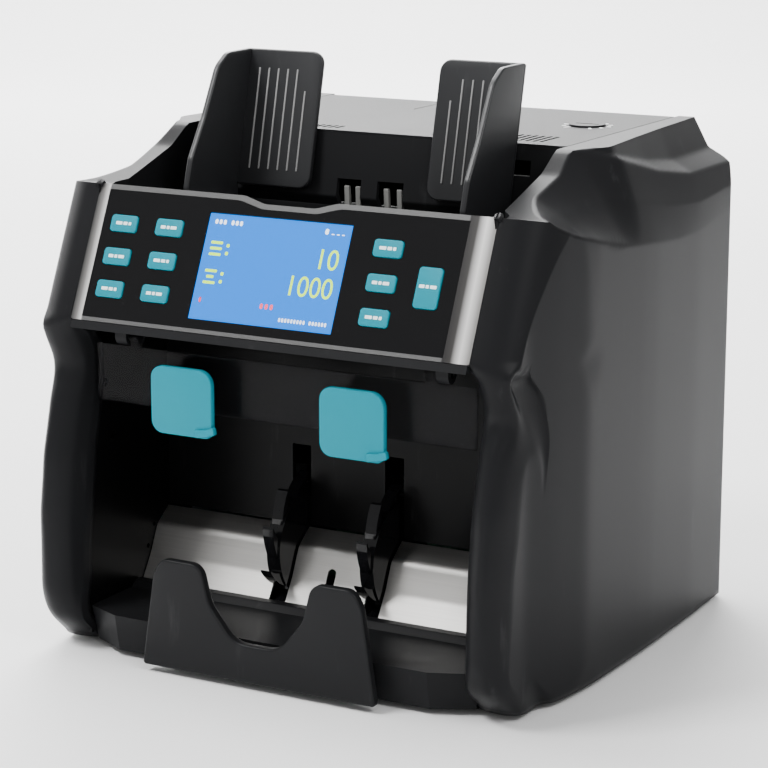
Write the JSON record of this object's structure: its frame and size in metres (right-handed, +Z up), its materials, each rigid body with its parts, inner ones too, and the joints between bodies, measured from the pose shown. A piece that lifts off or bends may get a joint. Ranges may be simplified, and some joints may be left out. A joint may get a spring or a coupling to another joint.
{
  "type": "banknote counting machine",
  "caption": "Desktop banknote counter with sloping display panel, top hopper with sliding note guides, and an open front stacking pocket with finned wheels.",
  "frame": {"origin": "middle of the machine's footprint at the underside of the rubber feet", "axes": "+Z up, +X to the right seen from the front, the control panel faces -Y"},
  "size_m": [0.263, 0.2421, 0.2749],
  "materials": {
    "body_black": "satin",
    "guide_black": "satin",
    "inner_black": "matt",
    "trim_silver": "satin metallic",
    "overlay_gloss": "gloss",
    "key_teal": "satin",
    "display_blue": "gloss",
    "module_metal": "satin",
    "board_green": "satin",
    "finger_grey": "satin",
    "stainless": "brushed",
    "zinc_steel": "satin",
    "rubber_black": "matt",
    "wheel_gloss": "gloss",
    "smoked_pane": "gloss"
  },
  "bodies": {
    "chassis": {"left_side_shell": "body_black", "right_side_shell": "body_black", "base_tray": "body_black", "head_housing": "body_black", "rear_cover": "body_black", "stopper_plate": "body_black", "hopper_tray": "body_black", "pocket_back": "inner_black", "left_inner_wall": "inner_black", "right_inner_wall": "inner_black", "note_chute": "inner_black", "switch_frame": "inner_black", "power_inlet": "inner_black", "panel_bezel": "trim_silver", "panel_overlay": "overlay_gloss", "display_window": "display_blue", "lcd_module": "module_metal", "io_ports": "module_metal", "keypad_board": "board_green", "main_board": "board_green", "power_supply": "board_green", "note_fingers": "finger_grey", "stacker_plate": "stainless", "frame_plate_right": "zinc_steel", "frame_plate_left": "zinc_steel", "motor": "zinc_steel", "screws": "zinc_steel", "feed_belt": "rubber_black", "stacker_belt": "rubber_black", "rubber_feet": "rubber_black"},
    "cover": {"top_cover": "body_black", "service_hatch": "body_black"},
    "knob": {"thickness_knob": "body_black"},
    "left_guide": {"guide_left": "guide_black"},
    "right_guide": {"guide_right": "guide_black"},
    "guide_gear": {"guide_pinion": "finger_grey"},
    "pickup": {"pickup_shaft": "stainless", "pickup_tyres": "rubber_black"},
    "feed": {"feed_shaft": "stainless", "feed_tyres": "rubber_black", "feed_pulley": "finger_grey"},
    "stacker": {"stacker_shaft": "stainless", "impeller_left": "wheel_gloss", "impeller_right": "wheel_gloss", "stacker_pulley": "finger_grey"},
    "motor_rotor": {"motor_pulley": "finger_grey"},
    "shield": {"stacker_shield": "smoked_pane", "shield_tabs": "key_teal"},
    "rocker": {"power_switch": "inner_black"},
    "key_error_cap": {"key_error": "key_teal"},
    "key_range_cap": {"key_range": "key_teal"},
    "key_batch_cap": {"key_batch": "key_teal"},
    "key_add_cap": {"key_add": "key_teal"},
    "key_print_cap": {"key_print": "key_teal"},
    "key_report_cap": {"key_report": "key_teal"},
    "key_menu_cap": {"key_menu": "key_teal"},
    "key_mode_cap": {"key_mode": "key_teal"},
    "key_currency_cap": {"key_currency": "key_teal"},
    "key_reset_cap": {"key_reset": "key_teal"}
  },
  "joints": [
    {"name": "cover_hinge", "type": "hinge", "parent": "chassis", "child": "cover", "pos_m": [0, 0.1128, 0.231], "axis": [-1, 0, 0], "range_deg": [0, 60]},
    {"name": "knob_turn", "type": "hinge", "parent": "cover", "child": "knob", "pos_m": [0.074, 0.0648, 0.239], "axis": [0, 0, 1], "range_deg": [-150, 150]},
    {"name": "right_guide_slide", "type": "slide", "parent": "cover", "child": "right_guide", "axis": [1, 0, 0], "range_m": [-0.012, 0.02]},
    {"name": "left_guide_slide", "type": "slide", "parent": "cover", "child": "left_guide", "axis": [-1, 0, 0], "range_m": [-0.012, 0.02]},
    {"name": "guide_gear_turn", "type": "hinge", "parent": "cover", "child": "guide_gear", "pos_m": [0, 0.0028, 0.228], "axis": [0, 0, 1], "range_deg": [-300, 180]},
    {"name": "pickup_turn", "type": "hinge", "parent": "chassis", "child": "pickup", "pos_m": [0, -0.0412, 0.189], "axis": [1, 0, 0], "continuous": true},
    {"name": "feed_turn", "type": "hinge", "parent": "chassis", "child": "feed", "pos_m": [0, -0.0072, 0.181], "axis": [1, 0, 0], "continuous": true},
    {"name": "stacker_turn", "type": "hinge", "parent": "chassis", "child": "stacker", "pos_m": [0, -0.0362, 0.046], "axis": [1, 0, 0], "continuous": true},
    {"name": "motor_turn", "type": "hinge", "parent": "chassis", "child": "motor_rotor", "pos_m": [0, 0.0388, 0.069], "axis": [1, 0, 0], "continuous": true},
    {"name": "shield_swing", "type": "hinge", "parent": "chassis", "child": "shield", "pos_m": [0, -0.0952, 0.1505], "axis": [-1, 0, 0], "range_deg": [0, 30]},
    {"name": "rocker_tilt", "type": "hinge", "parent": "chassis", "child": "rocker", "pos_m": [0.0862, 0.1148, 0.039], "axis": [1, 0, 0], "range_deg": [-8, 0]},
    {"name": "key_error_press", "type": "slide", "parent": "chassis", "child": "key_error_cap", "axis": [0, 0.91, -0.4147], "range_m": [0, 0.0008], "stiffness_N_per_m": 400, "springref_m": -0.0008},
    {"name": "key_range_press", "type": "slide", "parent": "chassis", "child": "key_range_cap", "axis": [0, 0.91, -0.4147], "range_m": [0, 0.0008], "stiffness_N_per_m": 400, "springref_m": -0.0008},
    {"name": "key_batch_press", "type": "slide", "parent": "chassis", "child": "key_batch_cap", "axis": [0, 0.91, -0.4147], "range_m": [0, 0.0008], "stiffness_N_per_m": 400, "springref_m": -0.0008},
    {"name": "key_add_press", "type": "slide", "parent": "chassis", "child": "key_add_cap", "axis": [0, 0.91, -0.4147], "range_m": [0, 0.0008], "stiffness_N_per_m": 400, "springref_m": -0.0008},
    {"name": "key_print_press", "type": "slide", "parent": "chassis", "child": "key_print_cap", "axis": [0, 0.91, -0.4147], "range_m": [0, 0.0008], "stiffness_N_per_m": 400, "springref_m": -0.0008},
    {"name": "key_report_press", "type": "slide", "parent": "chassis", "child": "key_report_cap", "axis": [0, 0.91, -0.4147], "range_m": [0, 0.0008], "stiffness_N_per_m": 400, "springref_m": -0.0008},
    {"name": "key_menu_press", "type": "slide", "parent": "chassis", "child": "key_menu_cap", "axis": [0, 0.91, -0.4147], "range_m": [0, 0.0008], "stiffness_N_per_m": 400, "springref_m": -0.0008},
    {"name": "key_mode_press", "type": "slide", "parent": "chassis", "child": "key_mode_cap", "axis": [0, 0.91, -0.4147], "range_m": [0, 0.0008], "stiffness_N_per_m": 400, "springref_m": -0.0008},
    {"name": "key_currency_press", "type": "slide", "parent": "chassis", "child": "key_currency_cap", "axis": [0, 0.91, -0.4147], "range_m": [0, 0.0008], "stiffness_N_per_m": 400, "springref_m": -0.0008},
    {"name": "key_reset_press", "type": "slide", "parent": "chassis", "child": "key_reset_cap", "axis": [0, 0.91, -0.4147], "range_m": [0, 0.0008], "stiffness_N_per_m": 400, "springref_m": -0.0008}
  ],
  "couplings": [
    {"joint": "left_guide_slide", "follows": "right_guide_slide", "ratio": 1},
    {"joint": "guide_gear_turn", "follows": "right_guide_slide", "rad_per_m": -250},
    {"joint": "pickup_turn", "follows": "feed_turn", "ratio": -1},
    {"joint": "motor_turn", "follows": "feed_turn", "ratio": 1.3333},
    {"joint": "stacker_turn", "follows": "feed_turn", "ratio": 0.85714}
  ]
}
